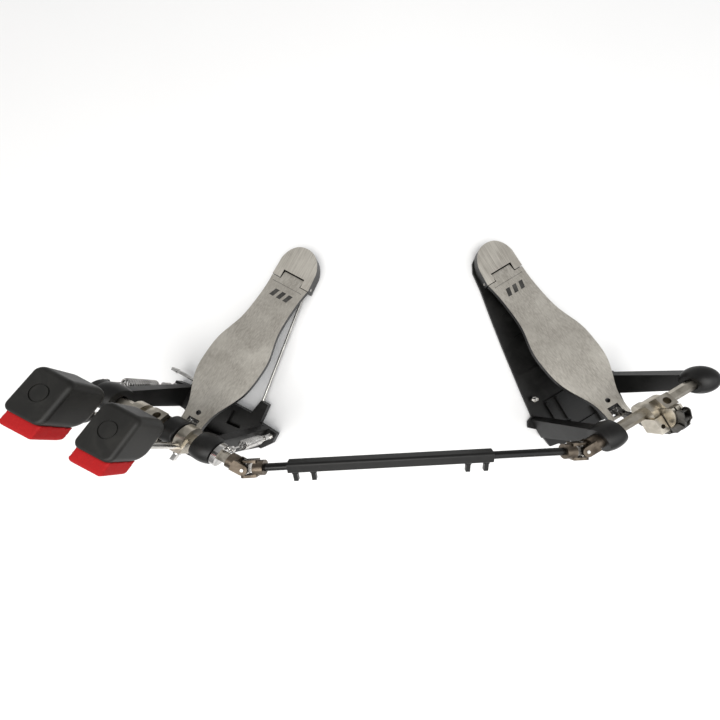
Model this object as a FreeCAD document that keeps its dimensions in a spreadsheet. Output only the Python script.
import FreeCAD, Part
import math
import os
import re

# A double bass drum pedal: a primary pedal with two beaters and a slave pedal, joined by a telescopic drive
# shaft with a universal joint at each end. Both pedals stand on the floor, +Z is up and +X runs from the
# primary pedal to the slave pedal. The origin is the middle of the footprint, on the floor.
#
# Each pedal is drawn in its own frame and then placed: the origin is on the floor below the middle of the
# axle, +X runs along the axle and +Y runs towards the heel. The drum is on the -Y side.

Vector, Rotation, Placement = FreeCAD.Vector, FreeCAD.Rotation, FreeCAD.Placement
X, Y, Z = Vector(1, 0, 0), Vector(0, 1, 0), Vector(0, 0, 1)

DIMS = {
    # where the two pedals stand
    "primary_x": -299.9, "primary_y": -107.8, "primary_yaw": -28.1,
    "slave_x": 302.1, "slave_y": -89.8, "slave_yaw": 31.1,
    # frame
    "axle_height": 136, "housing_x": 66, "housing_radius": 17.5, "housing_length": 24, "post_foot_x": 74,
    "post_thick": 12, "post_foot_width": 36, "post_top_width": 21, "foot_height": 3, "rail_height": 12,
    "bearing_seat": 14, "bearing_width": 9, "shaft_bore": 7.2,
    # footboard and heel
    "hinge_y": 249.2, "hinge_z": 23.3, "board_slope": 12.65, "board_length": 273, "board_thick": 6.5,
    "heel_length": 63, "heel_half_width": 33, "tab_half_width": 17.5, "tab_length": 14, "joint_gap": 1.2,
    "pin_radius": 2.5, "pin_y": 7, "pin_drop": 8.5, "slot_near": 254.6, "slot_long": 14.8, "slot_wide": 17,
    "hole_at": 245.3, "hole_radius": 3.6,
    # axle, cam and chain
    "hex_flats": 11, "cam_width": 9, "chain_radius": 31.3, "chain_pitch": 10, "run_links": 6, "wrap_links": 5,
    "toe_pin_y": -6, "toe_pin_z": 77, "toe_pin_radius": 1.25, "toe_eye": 2.95, "chain_inner": 4.4, "plate_thick": 1.1, "plate_height": 7, "roller_radius": 2.9,
    "chain_pin_radius": 1.3, "block_side": 15.5, "block_reach": 20, "rod_radius": 4,
    "primary_block_angle": 40, "slave_block_angle": 26,
    # beaters
    "main_beater_x": -26, "aux_beater_x": 38.5, "beater_lean": 12.5, "head_top": 107, "head_height": 37,
    "head_width": 36, "head_depth": 43, "felt_depth": 13, "felt_width": 31, "rod_below": 78,
    # auxiliary shaft, springs and drive shaft
    "sleeve_start": 12.4, "sleeve_length": 18.6, "sleeve_radius": 16.5, "spring_cam_x": 79.5, "spring_x": 89, "peg_y": 9, "peg_drop": 7,
    "spring_radius": 6.2, "wire_radius": 1.1, "spring_turns": 14, "spring_low": 56, "spring_high": 106,
    "primary_joint_x": 119, "slave_joint_x": 101, "fork_radius": 10.5, "fork_gap": 7.4, "cross_half": 5.2, "fork_reach": 11,
    "cross_pin": 2,
    "link_rod_radius": 4.75, "link_sleeve_side": 14, "link_sleeve_start": 52, "link_sleeve_length": 249,
    "link_roll": 22,
    # base, braces, clamp
    "plate_top": 6, "plate_bottom": 2, "rod_heel_x": 24, "rod_base_x": 47, "rod_z": 9, "brace_radius": 2.4,
    "jaw_width": 50, "jaw_middle": -8, "jaw_pin_y": -34, "jaw_pin_z": 24, "jaw_front": -74, "jaw_floor": 28,
    "jaw_thick": 8, "wing_x": -22, "wing_y": -51, "rod_offset": 11.5, "journal_radius": 6.55,
}

doc = FreeCAD.newDocument("double_pedal")
sheet = doc.addObject("Spreadsheet::Sheet", "Dims")
for number, (alias, value) in enumerate(DIMS.items(), 1):
    sheet.set(f"A{number}", alias)
    sheet.set(f"B{number}", str(value))
    sheet.setAlias(f"B{number}", alias)
doc.recompute()

sub_parts = []


def dim(alias):
    """A driving dimension, as the sheet holds it."""
    return float(sheet.get(alias))


def cells(text):
    """An expression on the sheet's cells, from words that are their aliases."""
    return re.sub(r"[a-z][a-z_]+", lambda m: "Dims." + m[0] if m[0] in DIMS else m[0], str(text))


def bind(piece, **sizes):
    for name, text in sizes.items():
        piece.setExpression(name, cells(text))
    return piece


def put(piece, at, turn=None):
    """Turns a piece and binds its place to the sheet."""
    piece.Placement = Placement(Vector(), turn or Rotation())
    for axis, text in zip("xyz", at):
        piece.setExpression(f"Placement.Base.{axis}", cells(text))
    return piece


def box(size, at, turn=None):
    piece = bind(doc.addObject("Part::Box", "Box"), Length=size[0], Width=size[1], Height=size[2])
    return put(piece, at, turn)


ALONG = {"x": Rotation(Y, 90), "y": Rotation(X, -90), "z": Rotation()}


def cylinder(radius, length, at, along="z"):
    piece = bind(doc.addObject("Part::Cylinder", "Cylinder"), Radius=radius, Height=length)
    return put(piece, at, ALONG[along] if isinstance(along, str) else along)


def hexagon(flats, length, at, along="z"):
    """A hexagonal bar, measured across its flats."""
    piece = bind(doc.addObject("Part::Prism", "Prism"), Circumradius=f"({flats}) / sqrt(3)", Height=length)
    piece.Polygon = 6
    return put(piece, at, ALONG[along] if isinstance(along, str) else along)


def ball(radius, at):
    return put(bind(doc.addObject("Part::Sphere", "Sphere"), Radius=radius), at)


def fuse(*pieces):
    joined = doc.addObject("Part::MultiFuse", "Fuse")
    joined.Shapes = list(pieces)
    return joined


def cut(base, *tools):
    result = doc.addObject("Part::Cut", "Cut")
    result.Base = base
    result.Tool = tools[0] if len(tools) == 1 else fuse(*tools)
    return result


def common(first, second):
    result = doc.addObject("Part::Common", "Common")
    result.Base, result.Tool = first, second
    return result


def rounded(base, radius, choose):
    """Fillets the edges that choose(edge) picks."""
    doc.recompute()
    result = doc.addObject("Part::Fillet", "Fillet")
    result.Base = base
    result.Edges = [(i, radius, radius) for i, e in enumerate(base.Shape.Edges, 1) if choose(e)]
    return result


def solid(shape):
    """A piece whose shape is worked out here from the sheet."""
    piece = doc.addObject("Part::Feature", "Solid")
    piece.Shape = shape
    return piece


def sub_part(label, frame, *pieces):
    """Names one sub-part and places it. Several pieces stay separate solids of the same sub-part."""
    group = pieces[0]
    if len(pieces) > 1 or group.ExpressionEngine or not hasattr(group, "Placement"):
        group = doc.addObject("Part::Compound", "Group")
        group.Links = list(pieces)
    group.Label = label
    group.Placement = frame.multiply(group.Placement)
    sub_parts.append(group)
    return group


def pedal_frame(name):
    """Where a pedal stands."""
    turn = Rotation(Z, dim(f"{name}_yaw"))
    return Placement(Vector(dim(f"{name}_x"), dim(f"{name}_y"), 0), turn)


PRIMARY, SLAVE = pedal_frame("primary"), pedal_frame("slave")
SLOPE = Rotation(X, -dim("board_slope"))
FIT = 0.05
axle = Vector(0, 0, dim("axle_height"))


# ---- PartDesign helpers -------------------------------------------------------------------------------


def new_body(name):
    return doc.addObject("PartDesign::Body", name)


def sketch_on(body, role, offset=0.0, name="Sketch"):
    plane = next(f for f in body.Origin.OriginFeatures if f.Role == role)
    sketch = body.newObject("Sketcher::SketchObject", name)
    sketch.AttachmentSupport = [(plane, "")]
    sketch.MapMode = "FlatFace"
    sketch.AttachmentOffset = Placement(Vector(0, 0, offset), Rotation())
    return sketch


def draw_polygon(sketch, corners):
    for a, b in zip(corners, corners[1:] + corners[:1]):
        sketch.addGeometry(Part.LineSegment(Vector(*a, 0), Vector(*b, 0)), False)


def draw_rectangle(sketch, x0, y0, x1, y1):
    draw_polygon(sketch, [(x0, y0), (x1, y0), (x1, y1), (x0, y1)])


def draw_circle(sketch, x, y, radius):
    sketch.addGeometry(Part.Circle(Vector(x, y, 0), Z, radius), False)


def draw_curve(sketch, points):
    curve = Part.BSplineCurve()
    curve.interpolate([Vector(*p, 0) for p in points])
    sketch.addGeometry(curve, False)


def pad(body, sketch, length, reverse=False):
    feature = bind(body.newObject("PartDesign::Pad", "Pad"), Length=length)
    feature.Profile = sketch
    feature.Reversed = reverse
    return feature


def pocket(body, sketch, length, reverse=False):
    feature = bind(body.newObject("PartDesign::Pocket", "Pocket"), Length=length)
    feature.Profile = sketch
    feature.Reversed = reverse
    return feature


# ---- footboard and heel -------------------------------------------------------------------------------

# The board's half width at distances from the hinge: a waist behind the heel, a wide sole, a narrow toe.
BOARD_SIDE = [
    (0, 32.3), (26, 30.0), (52, 29.8), (97, 33.8), (131, 42.6), (160, 44.0), (193, 40.4), (222, 28.5),
    (240, 20.5), (254, 17.6),
]
TOE_HALF_WIDTH = 16.8
RIM = 4.0


def draw_board(sketch, inset=0.0, start=0.0, end=None):
    """The board's outline, the hinge end up, moved in by inset."""
    end = end or dim("board_length")
    side = [(s, w) for s, w in BOARD_SIDE if start <= s < end - RIM] + [(end, TOE_HALF_WIDTH)]
    right = [(w - inset, -s) for s, w in side]
    left = [(-x, y) for x, y in reversed(right)]
    draw_curve(sketch, right)
    sketch.addGeometry(Part.LineSegment(Vector(*right[-1], 0), Vector(*left[0], 0)), False)
    draw_curve(sketch, left)
    sketch.addGeometry(Part.LineSegment(Vector(*left[-1], 0), Vector(*right[0], 0)), False)


def footboard(name, frame):
    """A cast board with a rim and cross ribs below, a hinge tab, a screw hole and the chain's slot."""
    body = new_body(name)
    tab, tab_long = dim("tab_half_width"), dim("tab_length")
    outline = sketch_on(body, "XY_Plane")
    draw_board(outline)
    pad(body, outline, "board_thick", reverse=True)
    knuckle = sketch_on(body, "XY_Plane")
    draw_rectangle(knuckle, -tab, -10, tab, tab_long)
    pad(body, knuckle, "pin_drop + 5", reverse=True)
    floor = -dim("board_thick")
    for start, end in ((26, 97), (97, 160), (160, 240)):
        hollow = sketch_on(body, "XY_Plane", floor)
        draw_board_bay(hollow, start + 2, end - 2)
        pocket(body, hollow, "board_thick - 3", reverse=True)
    eye_at = SLOPE.inverted().multVec(Vector(0, dim("pin_y"), -dim("pin_drop")))
    eye = sketch_on(body, "YZ_Plane", -tab)
    draw_circle(eye, eye_at.y, eye_at.z, dim("pin_radius") + FIT)
    pocket(body, eye, "2 * tab_half_width", reverse=True)
    openings = sketch_on(body, "XY_Plane")
    near, far = dim("slot_near"), dim("slot_near") + dim("slot_long")
    draw_rectangle(openings, -dim("slot_wide") / 2, -far, dim("slot_wide") / 2, -near)
    draw_circle(openings, 0, -dim("hole_at"), dim("hole_radius"))
    pocket(body, openings, "board_thick")
    body.Placement = frame.multiply(Placement(Vector(0, dim("hinge_y"), dim("hinge_z")), SLOPE))
    sub_parts.append(body)
    return body


def half_width(s):
    """The board's half width at a distance from the hinge, straight between its stations."""
    for (a, wa), (b, wb) in zip(BOARD_SIDE, BOARD_SIDE[1:]):
        if a <= s <= b:
            return wa + (wb - wa) * (s - a) / (b - a)
    return TOE_HALF_WIDTH


def draw_board_bay(sketch, start, end):
    """A bay between two cross ribs, inside the rim."""
    stations = [start, (start + end) / 2, end]
    right = [(half_width(s) - RIM - 1, -s) for s in stations]
    draw_polygon(sketch, right + [(-x, y) for x, y in reversed(right)])


def heel_plate(name, frame, top_height, rods):
    """The heel casting: a rounded plate on a hollow block, notched for the board's tab."""
    body = new_body(name)
    w, long, gap = dim("heel_half_width"), dim("heel_length"), dim("joint_gap")
    notch = dim("tab_half_width") + gap
    outline = sketch_on(body, "XY_Plane")
    for a, b in (((-w, gap), (w, gap)), ((w, gap), (w - 1.2, 30)), ((1.2 - w, 30), (-w, gap))):
        outline.addGeometry(Part.LineSegment(Vector(*a, 0), Vector(*b, 0)), False)
    draw_curve(outline, [(w - 1.2, 30), (w - 7, 47), (w - 18, 59), (0, long), (18 - w, 59), (7 - w, 47), (1.2 - w, 30)])
    base = pad(body, outline, top_height, reverse=True)
    cutout = sketch_on(body, "XY_Plane")
    draw_rectangle(cutout, -notch, 0, notch, dim("tab_length") + gap)
    pocket(body, cutout, top_height)
    hollow = sketch_on(body, "XY_Plane", -dim("hinge_z"))
    draw_rectangle(hollow, -w + 9, dim("tab_length") + gap + 5, w - 9, 42)
    pocket(body, hollow, "hinge_z - 6", reverse=True)
    eye = sketch_on(body, "YZ_Plane", -w - 1)
    draw_circle(eye, dim("pin_y"), -dim("pin_drop"), dim("pin_radius"))
    pocket(body, eye, "2 * heel_half_width + 2", reverse=True)
    if rods:
        sockets = sketch_on(body, "XZ_Plane")
        for side in (-1, 1):
            draw_circle(sockets, side * dim("rod_heel_x"), dim("rod_z") - dim("hinge_z"), dim("brace_radius") + FIT)
        pocket(body, sockets, "tab_length")
    body.Placement = frame.multiply(Placement(Vector(0, dim("hinge_y"), dim("hinge_z")), Rotation()))
    sub_parts.append(body)
    return base


def hinge_pin(name, frame):
    pin = cylinder("pin_radius", "2 * heel_half_width - 1",
                   ("0.5 - heel_half_width", "hinge_y + pin_y", "hinge_z - pin_drop"), "x")
    sub_part(name, frame, pin)


# ---- posts and bearings -------------------------------------------------------------------------------


def post(name, frame, side, foot_bottom, domed):
    """A tapered post up to a rounded bearing housing, which is closed by a dome or open for the axle."""
    leg = bind(doc.addObject("Part::Wedge", "Wedge"),
               Xmin=f"{side} * post_foot_x - post_thick / 2 - housing_x * {side}",
               Xmax=f"{side} * post_foot_x + post_thick / 2 - housing_x * {side}",
               X2min="-post_thick / 2", X2max="post_thick / 2",
               Zmin="-post_foot_width / 2", Zmax="post_foot_width / 2",
               Z2min="-post_top_width / 2", Z2max="post_top_width / 2",
               Ymin=foot_bottom, Ymax="axle_height")
    leg.Placement = Placement(Vector(), Rotation(X, 90))
    leg.setExpression("Placement.Base.x", cells(f"{side} * housing_x"))
    barrel = bind(doc.addObject("Part::Ellipsoid", "Ellipsoid"), Radius1="housing_radius",
                  Radius2=16 if domed else 25, Radius3="housing_radius")
    put(barrel, (f"{side} * housing_x", 0, "axle_height"))
    inner, outer = dim("housing_length") / 2, 30 if domed else dim("housing_length") / 2
    start = -inner if side > 0 else -outer
    clip = cylinder("housing_radius + 1", inner + outer, (f"{side} * housing_x + {start}", 0, "axle_height"), "x")
    housing = common(barrel, clip)
    seat_start = f"{side} * housing_x - bearing_width / 2"
    seat = cylinder("bearing_seat", "bearing_width", (seat_start, 0, "axle_height"), "x")
    bore_start = -inner - 1 if side > 0 or not domed else -9
    bore_length = dim("housing_length") + 2 if not domed else inner + 10
    bore = cylinder("shaft_bore", bore_length, (f"{side} * housing_x + {bore_start}", 0, "axle_height"), "x")
    sub_part(name, frame, cut(fuse(leg, housing), seat, bore))


def bearings(name, frame):
    """Two ball bearings, each an outer ring, an inner ring and its balls."""
    pieces = []
    inner_bore, inner_rim, outer_bore, ball_radius = "shaft_bore", 9.4, 11.8, 1.15
    for side in (-1, 1):
        at = (f"{side} * housing_x - bearing_width / 2", 0, "axle_height")
        for outside, inside in (("bearing_seat", outer_bore), (inner_rim, f"{inner_bore} - 0.6")):
            pieces.append(cut(cylinder(outside, "bearing_width", at, "x"), cylinder(inside, "bearing_width", at, "x")))
        for k in range(8):
            angle = k * 45
            orbit = (inner_rim + outer_bore) / 2
            pieces.append(ball(ball_radius, (f"{side} * housing_x", orbit * math.cos(math.radians(angle)),
                                             f"axle_height + {orbit * math.sin(math.radians(angle))}")))
    sub_part(name, frame, *pieces)


# ---- cam and chain ------------------------------------------------------------------------------------

# The chain runs straight from the toe's pin to a pin on the cam's pitch circle, and wraps the cam from there.
toe_pin = Vector(0, dim("toe_pin_y"), dim("toe_pin_z"))
run_length = dim("run_links") * dim("chain_pitch")
toe_distance = (toe_pin - axle).Length
toe_angle = math.atan2(toe_pin.z - axle.z, toe_pin.y)
spread = (dim("chain_radius") ** 2 + toe_distance ** 2 - run_length ** 2) / (2 * dim("chain_radius") * toe_distance)
lift_angle = toe_angle - math.acos(spread)
link_angle = 2 * math.asin(dim("chain_pitch") / 2 / dim("chain_radius"))


def on_cam(angle):
    """A point of the chain's pitch circle, seen along the axle."""
    return Vector(0, axle.y + dim("chain_radius") * math.cos(angle), axle.z + dim("chain_radius") * math.sin(angle))


wrap_pins = [on_cam(lift_angle - k * link_angle) for k in range(int(dim("wrap_links")) + 1)]
run_step = (toe_pin - wrap_pins[0]) / dim("run_links")
run_pins = [wrap_pins[0] + run_step * k for k in range(int(dim("run_links")) + 1)]
PLATE_GAP = 0.3


def link_plate(a, b, x, eye_a, eye_b):
    """One side plate between two pin places, with an eye at each. A wide eye gets a wider end."""
    half, thick = dim("plate_height") / 2, dim("plate_thick")
    end_radii = [max(half, eye + 1.2) for eye in (eye_a, eye_b)]
    along = (b - a).normalize()
    across = X.cross(along)
    corners = [a + across * half, b + across * half, b - across * half, a - across * half]
    flat = Part.Face(Part.makePolygon(corners + corners[:1])).extrude(X * thick)
    ends = [Part.makeCylinder(radius, thick, p, X) for p, radius in zip((a, b), end_radii)]
    plate = flat.multiFuse(ends).removeSplitter()
    for p, radius in ((a, eye_a), (b, eye_b)):
        plate = plate.cut(Part.makeCylinder(radius, thick, p, X))
    plate.translate(X * x)
    return plate


def chain(name, frame, pins, first_outer, open_end=False):
    """A roller chain: inner links with rollers and outer links with pins take turns."""
    inner, thick = dim("chain_inner") / 2, dim("plate_thick")
    outer = inner + thick + PLATE_GAP
    pin_r, roller_r = dim("chain_pin_radius"), dim("roller_radius")
    pieces = []
    for k, (a, b) in enumerate(zip(pins, pins[1:])):
        is_outer = (k % 2 == 0) == first_outer
        last = open_end and k == len(pins) - 2
        x = outer if is_outer else inner
        bush = pin_r if is_outer else pin_r + FIT
        plates = [link_plate(a, b, offset, bush, dim("toe_eye") if last else bush) for offset in (x, -x - thick)]
        if is_outer:
            ends = [p for p in (a, b) if not (last and p is b)]
            pins_here = [Part.makeCylinder(pin_r, 2 * (x + thick), p - X * (x + thick), X) for p in ends]
            joined = plates[0].multiFuse(plates[1:] + pins_here)
            pieces.append(solid(joined.removeSplitter()))
        else:
            ends = [p for p in (a, b) if not (last and p is b)]
            rollers = [Part.makeCylinder(roller_r, 2 * inner, p - X * inner, X).cut(
                Part.makeCylinder(bush, 2 * inner, p - X * inner, X)) for p in ends]
            joined = plates[0].multiFuse(plates[1:] + rollers)
            pieces.append(solid(joined.removeSplitter()))
    sub_part(name, frame, *pieces)


def cam(name, frame, block_angle):
    """The chain cam: a hub on the hex axle, a chain sector, a screwed boss and a block with a rod socket."""
    hub = cylinder(11.5, 27, (-15, 0, "axle_height"), "x")
    shoulder = cylinder(13, 7, (-15, 0, "axle_height"), "x")
    rims = [(-2, 4, "chain_radius - roller_radius - 0.4"), (-6, 2.8, "chain_radius - 4"), (3.2, 2.8, "chain_radius - 4")]
    span, end_gap = 100, 5
    turn = Rotation(X, math.degrees(lift_angle) - span - end_gap)
    turn = turn.multiply(Rotation(Z, 90)).multiply(Rotation(X, 90))
    sectors = []
    for x, width, radius in rims:
        sector = bind(doc.addObject("Part::Cylinder", "Sector"), Radius=radius, Height=width)
        sector.Angle = span
        sectors.append(put(sector, (x, 0, "axle_height"), turn))
    reach = dim("block_reach")
    side = dim("block_side")
    up = Rotation(X, -dim(block_angle))
    block = box(("block_side", "block_side", "block_reach"), (0, 0, 0))
    socket = cylinder("rod_radius + 0.1", 12.5, (0, 0, 0))
    middle = Vector(3, 0, dim("axle_height"))
    for piece, local in ((block, Vector(-side / 2, -side / 2, 0)), (socket, Vector(0, 0, reach - 12.5))):
        place = middle + up.multVec(local)
        put(piece, tuple(place), up)
    bore = hexagon("hex_flats", 36, (-19, 0, "axle_height"), "x")
    ear = box((10.5, 20, 19), (-17.5, -26, "axle_height - 6"))
    ear_hole = cylinder(2.6, 14, (-12, -18, "axle_height"))
    sub_part(name, frame, cut(fuse(hub, shoulder, *sectors, block, ear), socket, ear_hole, bore))


def toe_pin_node(name, frame):
    """The pin that holds the chain's last link across the board's slot, with its two lugs."""
    reach = dim("slot_wide") / 2
    pin = Part.makeCylinder(dim("toe_pin_radius"), 2 * reach, Vector(-reach, toe_pin.y, toe_pin.z), X)
    sub_part(name, frame, solid(pin))


for prefix, place, block in (("primary", PRIMARY, "primary_block_angle"), ("slave", SLAVE, "slave_block_angle")):
    footboard(f"{prefix}_footboard", place)
    heel_plate(f"{prefix}_heel_plate", place, "hinge_z - foot_height" if prefix == "primary" else "hinge_z - plate_top",
               rods=prefix == "primary")
    hinge_pin(f"{prefix}_hinge_pin", place)
    bearings(f"{prefix}_bearings", place)
    cam(f"{prefix}_cam", place, block)
    chain(f"{prefix}_chain_wrap", place, wrap_pins, first_outer=True)
    chain(f"{prefix}_chain_run", place, run_pins, first_outer=False, open_end=True)
    toe_pin_node(f"{prefix}_toe_pin", place)


# ---- bases --------------------------------------------------------------------------------------------


def mirrored(points):
    """An outline from its +X half, both drawn from the drum side to the heel."""
    return points + [(-x, y) for x, y in reversed(points)]


def primary_base(name, frame):
    """A cast frame: feet for the springs, arms for the braces, two hollows and the clamp's lower jaw."""
    body = new_body(name)
    rim = [(62, -20), (84, -18), (96, -2), (96, 16), (62, 19), (60, 52), (46, 53), (41, 27)]
    left, right = dim("jaw_middle") - dim("jaw_width") / 2, dim("jaw_middle") + dim("jaw_width") / 2
    nose = [(left, -34), (left, dim("jaw_front")), (right, dim("jaw_front")), (right, -34)]
    outline = sketch_on(body, "XY_Plane", dim("foot_height"))
    draw_polygon(outline, nose + mirrored(rim))
    pad(body, outline, "rail_height")
    windows = sketch_on(body, "XY_Plane", dim("foot_height") + dim("rail_height"))
    for side in (-1, 1):
        draw_polygon(windows, [(side * 12, -8), (side * 36, -6), (side * 34, 17), (side * 12, 17)])
    pocket(body, windows, "rail_height - 4")
    lugs = sketch_on(body, "XY_Plane", dim("foot_height") + dim("rail_height"))
    for x in (left, right - 7):
        draw_rectangle(lugs, x, dim("jaw_pin_y") - 6, x + 7, dim("jaw_pin_y") + 6)
    draw_rectangle(lugs, -60, 26, -47, 40)
    pad(body, lugs, 15)
    pin_hole = sketch_on(body, "YZ_Plane", left - 1)
    draw_circle(pin_hole, dim("jaw_pin_y"), dim("jaw_pin_z"), 2.5)
    pocket(body, pin_hole, "jaw_width + 2", reverse=True)
    screw_hole = sketch_on(body, "YZ_Plane", -61)
    draw_circle(screw_hole, 33, 22, 3)
    pocket(body, screw_hole, 15, reverse=True)
    sockets = sketch_on(body, "XZ_Plane", -60)
    for side in (-1, 1):
        draw_circle(sockets, side * dim("rod_base_x"), dim("rod_z"), dim("brace_radius"))
    taps = sketch_on(body, "XY_Plane", dim("foot_height") + dim("rail_height"))
    draw_circle(taps, dim("wing_x"), dim("wing_y"), 3)
    for side in (-1, 1):
        draw_circle(taps, side * dim("spring_x"), dim("peg_y"), 2.5)
    pocket(body, taps, "rail_height - 2")
    body.Placement = frame
    sub_parts.append(body)


def slave_plate(name, frame):
    """A flat sole plate from the drum end to the heel, with slots between its cross ribs."""
    body = new_body(name)
    rim = [(28, -46), (37, -49), (55, -47), (59, -42), (74, -39), (78, -3), (90, 8), (85, 17), (75, 21), (69, 66),
           (57, 146), (47, 204), (38, 252), (34, 285), (26, 300), (12, 309)]
    outline = sketch_on(body, "XY_Plane", dim("plate_bottom"))
    draw_polygon(outline, mirrored(rim))
    pad(body, outline, "plate_top - plate_bottom")
    slots = sketch_on(body, "XY_Plane", dim("plate_top"))
    for near, far, wide in ((-30, -14, 40), (32, 78, 46), (92, 138, 38), (152, 198, 30), (210, 240, 24)):
        draw_rectangle(slots, -wide, near, wide, far)
    pocket(body, slots, 2.2)
    ribs = sketch_on(body, "XY_Plane", dim("plate_top"))
    for x in (-46, -26, 22, 42):
        draw_rectangle(ribs, x, -44, x + 4, -16)
        draw_rectangle(ribs, x, -12, x + 4, 30)
    pad(body, ribs, 6)
    through = sketch_on(body, "XY_Plane", dim("plate_top"))
    for side in (-1, 1):
        draw_circle(through, side * 60, 47, 3)
    pocket(body, through, "plate_top - plate_bottom")
    body.Placement = frame
    sub_parts.append(body)


post_bases = {"primary": "foot_height + rail_height", "slave": "plate_top"}
for prefix, place in (("primary", PRIMARY), ("slave", SLAVE)):
    for side, hand in ((-1, "left"), (1, "right")):
        domed = prefix == "slave" and side > 0
        post(f"{prefix}_post_{hand}", place, side, post_bases[prefix], domed)
primary_base("primary_base", PRIMARY)
slave_plate("slave_base_plate", SLAVE)

pads = [box((50, 14, "foot_height"), (-25, -70, 0))]
pads += [box((26, 14, "foot_height"), (x, -8, 0)) for x in (-90, 64)]
heel_pad = fuse(box((56, 30, "foot_height"), (-28, "hinge_y + 4", 0)),
                cylinder(26, "foot_height", (0, "hinge_y + 33", 0)))
sub_part("primary_feet", PRIMARY, *pads, heel_pad)
strips = [box((30, 40, "plate_bottom"), (x, -36, 0)) for x in (-66, 36)]
strips += [box((50, 14, "plate_bottom"), (-25, y, 0)) for y in (140, 280)]
sub_part("slave_rubber_strips", SLAVE, *strips)


def brace(side):
    """One spring-steel rod from the base's arm to the heel plate."""
    start = Vector(side * dim("rod_base_x"), 53.2, dim("rod_z"))
    middle = Vector(side * dim("rod_heel_x"), dim("hinge_y") - 10, dim("rod_z"))
    end = Vector(side * dim("rod_heel_x"), dim("hinge_y") + 12, dim("rod_z"))
    first, second = (middle - start).normalize(), (end - middle).normalize()
    turn, bend_radius = first.getAngle(second), 25
    setback = bend_radius * math.tan(turn / 2)
    crown = middle + (second - first).normalize() * (bend_radius / math.cos(turn / 2) - bend_radius)
    near, far = middle - first * setback, middle + second * setback
    route = [Part.makeLine(start, near), Part.Arc(near, crown, far).toShape(), Part.makeLine(far, end)]
    profile = Part.Wire(Part.makeCircle(dim("brace_radius"), start, first))
    return solid(Part.Wire(route).makePipeShell([profile], True, True))


sub_part("primary_braces", PRIMARY, brace(-1), brace(1))

side_screw = fuse(cylinder(3, 52, (-99, 33, 22), "x"), cylinder(3.8, 4, (-99, 33, 22), "x"),
                  box((6, 5, 5), (-105, 30.5, 19.5)))
sub_part("side_screw", PRIMARY, side_screw)
spurs = []
for side in (-1, 1):
    foot = Vector(side * 60, 47, dim("plate_bottom") + 0.4)
    spurs.append(fuse(cylinder(2.6, 20, tuple(foot)), cylinder(4.6, 5, (foot.x, foot.y, foot.z + 8))))
sub_part("slave_spurs", SLAVE, *spurs)

# ---- hoop clamp ---------------------------------------------------------------------------------------

jaw_left = "jaw_middle - jaw_width / 2"
jaw = fuse(box(("jaw_width", "jaw_pin_y - jaw_front - 8", "jaw_thick"), (jaw_left, "jaw_front", "jaw_floor")),
           box(("jaw_width - 16", 14, "jaw_floor + jaw_thick - jaw_pin_z"), (f"{jaw_left} + 8", "jaw_pin_y - 9", "jaw_pin_z")),
           cylinder(5.2, "jaw_width - 16", (f"{jaw_left} + 8", "jaw_pin_y", "jaw_pin_z"), "x"),
           box(("jaw_width", 6, 3), (jaw_left, "jaw_front", "jaw_floor - 3")))
jaw_holes = (cylinder(5.2, 30, ("wing_x", "wing_y", "jaw_floor - 4")),
             cylinder("2.5 + 0.05", "jaw_width", (jaw_left, "jaw_pin_y", "jaw_pin_z"), "x"))
sub_part("clamp_jaw", PRIMARY, cut(jaw, *jaw_holes))
sub_part("clamp_pin", PRIMARY, cylinder(2.5, "jaw_width + 3", (f"{jaw_left} - 1.5", "jaw_pin_y", "jaw_pin_z"), "x"))
wing_seat = dim("jaw_floor") + dim("jaw_thick") + 2.5
wing_at = (dim("wing_x"), dim("wing_y"))
wing = fuse(cylinder(2.95, wing_seat, (*wing_at, 6)), cylinder(7, 3, (*wing_at, wing_seat)),
            cylinder(5.5, 14, (*wing_at, wing_seat)),
            box((28, 5, 14), (wing_at[0] - 14, wing_at[1] - 2.5, wing_seat + 8)))
sub_part("clamp_wing_screw", PRIMARY, rounded(wing, 2.2, lambda e: e.Length > 13.9 and e.BoundBox.ZLength > 13
                                             and abs(e.BoundBox.Center.x - wing_at[0]) > 10))

# ---- axles --------------------------------------------------------------------------------------------


def axle_bar(name, frame, start, end, journals, spigot=None):
    """A hexagonal bar with round journals, and a round spigot on its +X end if spigot gives its length."""
    pieces = [hexagon("hex_flats", end - start, (start, 0, "axle_height"), "x")]
    for side in journals:
        pieces.append(cylinder("journal_radius", "bearing_width + 2",
                               (f"{side} * housing_x - bearing_width / 2 - 1", 0, "axle_height"), "x"))
    if spigot:
        pieces.append(cylinder(4, spigot, (end, 0, "axle_height"), "x"))
    sub_part(name, frame, fuse(*pieces))


axle_bar("primary_axle", PRIMARY, -92, 12, (-1,), spigot=18)
axle_bar("aux_axle", PRIMARY, 31.2, 106, (1,))
axle_bar("slave_axle", SLAVE, -89, 72, (-1, 1))

aux_sleeve = cut(cylinder("sleeve_radius", "sleeve_length", ("sleeve_start", 0, "axle_height"), "x"),
                 cylinder("4 + 0.05", "sleeve_length", ("sleeve_start", 0, "axle_height"), "x"))
sub_part("aux_sleeve", PRIMARY, rounded(aux_sleeve, 2.5, lambda e: e.Length > 60 and e.Curve.TypeId == "Part::GeomCircle"))

# ---- beaters ------------------------------------------------------------------------------------------

LEAN = PRIMARY.multiply(Placement(axle, Rotation(X, -dim("beater_lean"))))


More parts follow.
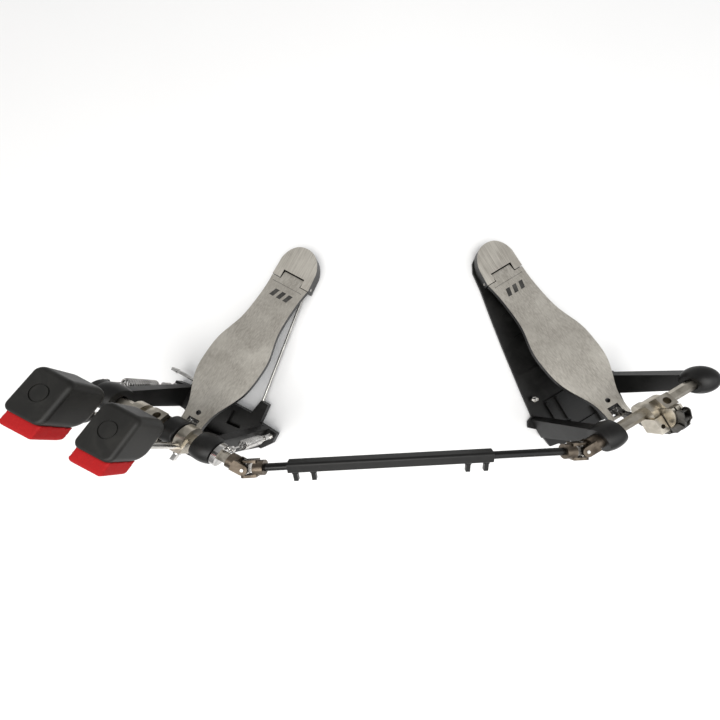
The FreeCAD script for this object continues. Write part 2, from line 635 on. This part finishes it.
def beater_hub(name, x, start, disc_radius):
    """A split hub on the hexagonal axle with a cross hole for the beater's rod."""
    disc = cylinder(disc_radius, 11, (start, 0, 0), "x")
    boss = box((15, 19, 17), (f"{x} - 7.5", "-rod_offset - 8", -8.5))
    boss = rounded(boss, 3, lambda e: e.BoundBox.XLength < 0.1 and e.BoundBox.ZLength > 1 and e.BoundBox.YMax < 0)
    bore = hexagon("hex_flats", 24, (start - 5, 0, 0), Rotation(X, dim("beater_lean")).multiply(ALONG["x"]))
    rod_hole = cylinder("rod_radius", 30, (x, "-rod_offset", -15))
    tap = cylinder(2.5, 8, (x, "-rod_offset - 8.2", 0), "y")
    sub_part(name, LEAN, cut(fuse(disc, boss), bore, rod_hole, tap))


def beater(prefix, x):
    """A rod through the hub, a black head and the felt on its drum side."""
    under = "head_top - head_height"
    rod = cylinder("rod_radius", "rod_below + head_top - 16", (x, "-rod_offset", "-rod_below"))
    sub_part(f"{prefix}_rod", LEAN, rod)
    head = box(("head_width", "head_depth", "head_height"), (f"{x} - head_width / 2", "-head_depth / 2", under))
    head = rounded(head, 13, lambda e: e.BoundBox.XLength > 1 and e.BoundBox.ZMax < dim("head_top") - 1)
    head = rounded(head, 7, lambda e: e.BoundBox.XLength < 0.1 and e.BoundBox.ZMin < dim("head_top") - 1)
    head = rounded(head, 3.5, lambda e: e.BoundBox.ZMin > dim("head_top") - 0.1)
    boss = cylinder(8.5, 14, (x, "-rod_offset", f"{under} - 10"))
    socket = cylinder("rod_radius", "head_height - 6", (x, "-rod_offset", f"{under} - 10"))
    mark = cylinder(8, 1, (x, 2, "head_top - 0.6"))
    disc = cylinder(6.8, 2, (x, 2, "head_top - 1.5"))
    sub_part(f"{prefix}_head", LEAN, cut(fuse(head, boss), socket, cut(mark, disc)))
    felt = box(("felt_width", "felt_depth + 3", "head_height - 12"),
               (f"{x} - felt_width / 2", "-head_depth / 2 - felt_depth", f"{under} + 8"))
    felt = rounded(felt, 4, lambda e: e.BoundBox.YMax < -dim("head_depth") / 2 - 1)
    sub_part(f"{prefix}_felt", LEAN, cut(felt, head))


def square_screw(radius, at, along="y"):
    """A square-headed key screw whose head points the other way from along."""
    x, y, z = at
    collar = cylinder(4.4, 2.5, (x, f"{y} - 2.5", z), along)
    return fuse(cylinder(radius, 4, at, along), collar, box((5, 8, 5), (f"{x} - 2.5", f"{y} - 10.5", f"{z} - 2.5")))


beater_hub("main_hub", "main_beater_x", -33.5, 12)
beater_hub("aux_hub", "aux_beater_x", 33, 15)
for prefix, x in (("main_beater", "main_beater_x"), ("aux_beater", "aux_beater_x")):
    beater(prefix, x)
    sub_part(f"{prefix}_screw", LEAN, square_screw(2.5, (x, "-rod_offset - 8 - 0.1", 0)))

# ---- springs ------------------------------------------------------------------------------------------


def spring_cam(name, side):
    """A disc on the axle's end with the peg that the spring hangs from."""
    near = "spring_cam_x" if side > 0 else "-spring_cam_x - 6.5"
    disc = cylinder(14, 6.5, (near, 0, "axle_height"), "x")
    peg_start = "spring_cam_x + 6" if side > 0 else "-spring_cam_x - 14"
    peg = cylinder(2.2, 8, (peg_start, "peg_y", "axle_height - peg_drop"), "x")
    bore = hexagon("hex_flats", 20, (f"{near} - 6", 0, "axle_height"), "x")
    sub_part(name, PRIMARY, cut(fuse(disc, peg), bore))


def spring(name, side):
    """A coil with a straight wire to an eye round the cam's peg and another down to the adjuster."""
    r, wire = dim("spring_radius"), dim("wire_radius")
    low, high = dim("spring_low"), dim("spring_high")
    x, y = side * dim("spring_x"), dim("peg_y")
    peg_z = dim("axle_height") - dim("peg_drop")
    helix = Part.makeHelix((high - low) / dim("spring_turns"), high - low, r)
    profile = Part.Wire(Part.makeCircle(wire, Vector(r, 0, 0), Y))
    coil = Part.Wire(helix).makePipeShell([profile], True, True)
    coil.translate(Vector(x, y, low))
    eye = Part.makeTorus(2.2 + wire + 0.35, wire, Vector(x, y, peg_z), X)
    stem = Part.makeCylinder(wire, peg_z - 2.4 - high, Vector(x, y, high - 0.5), Z)
    top_arm = Part.makeCylinder(wire, r, Vector(x, y, high), X)
    foot_arm = Part.makeCylinder(wire, r, Vector(x, y, low), X)
    foot = Part.makeCylinder(wire, 12, Vector(x, y, low - 12), Z)
    return sub_part(name, PRIMARY, solid(coil.multiFuse([eye, stem, top_arm, foot_arm, foot])))


adjusters = []
for side, hand in ((-1, "left"), (1, "right")):
    spring_cam(f"spring_cam_{hand}", side)
    spring(f"spring_{hand}", side)
    at = (f"{side} * spring_x", "peg_y")
    stud = fuse(cylinder(2.5, 27, (*at, 6)), hexagon(9, 6, (*at, "foot_height + rail_height")),
                cylinder(4.6, 11, (*at, 32.6)))
    adjusters.append(cut(stud, cylinder("wire_radius + 0.05", 12, (*at, 36))))
sub_part("spring_adjusters", PRIMARY, *adjusters)

# ---- drive shaft --------------------------------------------------------------------------------------

joint_a = PRIMARY.multVec(Vector(dim("primary_joint_x"), 0, dim("axle_height")))
joint_b = SLAVE.multVec(Vector(-dim("slave_joint_x"), 0, dim("axle_height")))
run = joint_b - joint_a
LINK = Placement(joint_a, Rotation(X, run))
LINK_END = Placement(joint_b, Rotation(X, run * -1))


def joint_frame(pedal, x, turned):
    """A frame at a joint whose +X runs outward from the pedal along its axle."""
    turn = Rotation(Z, 180) if turned else Rotation()
    return pedal.multiply(Placement(Vector(x, 0, dim("axle_height")), turn))


def fork(name, frame, axis, bore, play):
    """A yoke behind the joint's middle. Its two arms stand apart along axis, y or z."""
    wide, gap, reach = dim("fork_radius"), dim("fork_gap"), dim("fork_reach")
    arm_wide = 12.4
    hub = Part.makeCylinder(9.2, 12, Vector(-reach - 12, 0, 0), X)
    eye_axis = Z if axis == "z" else Y
    side_axis = Y if axis == "z" else Z
    arms = []
    for side in (-1, 1):
        middle = eye_axis * (side * (gap + wide) / 2)
        blank = Part.makeBox(reach + 3, arm_wide, wide - gap, Vector(-reach - 3, -arm_wide / 2, (gap - wide) / 2))
        tip = Part.makeCylinder(arm_wide / 2, wide - gap, Vector(0, 0, (gap - wide) / 2), Z)
        arm = blank.fuse(tip)
        if axis == "y":
            arm.rotate(Vector(), X, 90)
        arm.translate(middle)
        arms.append(arm)
    web = Part.makeBox(3.5, arm_wide, 2 * wide, Vector(-reach - 3.5, -arm_wide / 2, -wide))
    if axis == "y":
        web.rotate(Vector(), X, 90)
    shape = hub.multiFuse(arms + [web])
    eyes = Part.makeCylinder(dim("cross_pin") + play, 40, eye_axis * -20, eye_axis)
    shape = shape.cut(eyes).cut(bore)
    sub_part(name, frame, solid(shape.removeSplitter()))


def cross(name, frame, link_frame):
    """The joint's cross: a block and two pins at right angles."""
    turn = frame.Rotation.inverted().multiply(link_frame.Rotation)
    half, pin, long = dim("cross_half"), dim("cross_pin"), dim("fork_radius") + 0.4
    block = Part.makeBox(2 * half, 2 * half, 2 * half, Vector(-half, -half, -half))
    pins = [Part.makeCylinder(pin, 2 * long, a * -long, a) for a in (Y, Z)]
    shape = block.multiFuse(pins)
    shape.Placement = Placement(Vector(), turn)
    sub_part(name, frame, solid(shape))


def hex_tool(flats, start, length):
    corner = flats / math.sqrt(3)
    corners = [Vector(start, -corner * math.sin(math.radians(60 * k)), corner * math.cos(math.radians(60 * k)))
               for k in range(6)]
    return Part.Face(Part.makePolygon(corners + corners[:1])).extrude(X * length)


rod_bore = Part.makeCylinder(dim("link_rod_radius"), 20, Vector(-30, 0, 0), X)
for prefix, pedal, x, turned, link in (("primary", PRIMARY, dim("primary_joint_x"), False, LINK),
                                       ("slave", SLAVE, -dim("slave_joint_x"), True, LINK_END)):
    place = joint_frame(pedal, x, turned)
    fork(f"{prefix}_yoke", place, "z", hex_tool(dim("hex_flats"), -30, 18), FIT)
    cross(f"{prefix}_cross", place, link)
    away = Placement(link.Base, link.Rotation.multiply(Rotation(Z, 180)))
    fork(f"link_yoke_{prefix}", away, "y", rod_bore, 1.3)

sleeve_end = dim("link_sleeve_start") + dim("link_sleeve_length")
roll = Rotation(X, dim("link_roll"))
side = dim("link_sleeve_side")
bar = Part.makeBox(dim("link_sleeve_length"), side, side, Vector(dim("link_sleeve_start"), -side / 2, -side / 2))
bar = bar.makeFillet(3.2, [e for e in bar.Edges if e.BoundBox.XLength > side])
bar = bar.cut(Part.makeCylinder(dim("link_rod_radius") + FIT, run.Length, Vector(), X))
BOLTS = (6.5, 29, dim("link_sleeve_length") - 29, dim("link_sleeve_length") - 6.5)
bolt_shapes = []
for at in BOLTS:
    place = Vector(dim("link_sleeve_start") + at, 0, 0)
    bar = bar.cut(Part.makeCylinder(2.5, side, place, Y * -1))
    shank = Part.makeCylinder(2.5, side / 2 - dim("link_rod_radius") - 0.2, place - Y * (side / 2), Y)
    collar = Part.makeCylinder(4.4, 3, place - Y * (side / 2 + 3), Y)
    head = Part.makeBox(5.4, 11, 5.4, place - Y * (side / 2 + 14) - X * 2.7 - Z * 2.7)
    bolt_shapes.append(shank.multiFuse([collar, head]))
ROLLED = LINK.multiply(Placement(Vector(), roll))
sub_part("link_sleeve", ROLLED, solid(bar))
sub_part("link_key_bolts", ROLLED, *[solid(shape) for shape in bolt_shapes])
inside = 70
for name, start, end in (("link_rod_primary", dim("fork_reach") + 3.5, dim("link_sleeve_start") + inside),
                         ("link_rod_slave", sleeve_end - inside, run.Length - dim("fork_reach") - 3.5)):
    sub_part(name, LINK, cylinder("link_rod_radius", end - start, (start, 0, 0), "x"))

# ---- checks and export --------------------------------------------------------------------------------

doc.recompute()
for thing in doc.Objects:
    if {"Invalid", "Error"} & set(thing.State):
        raise RuntimeError(f"{thing.Label} failed: {thing.State}")
os.makedirs("parts", exist_ok=True)
for piece in sub_parts:
    if piece.Shape.isNull() or not piece.Shape.isValid() or not piece.Shape.Solids:
        raise RuntimeError(f"{piece.Label} has no valid solid")
    piece.Shape.exportStep(f"parts/{piece.Label}.step")
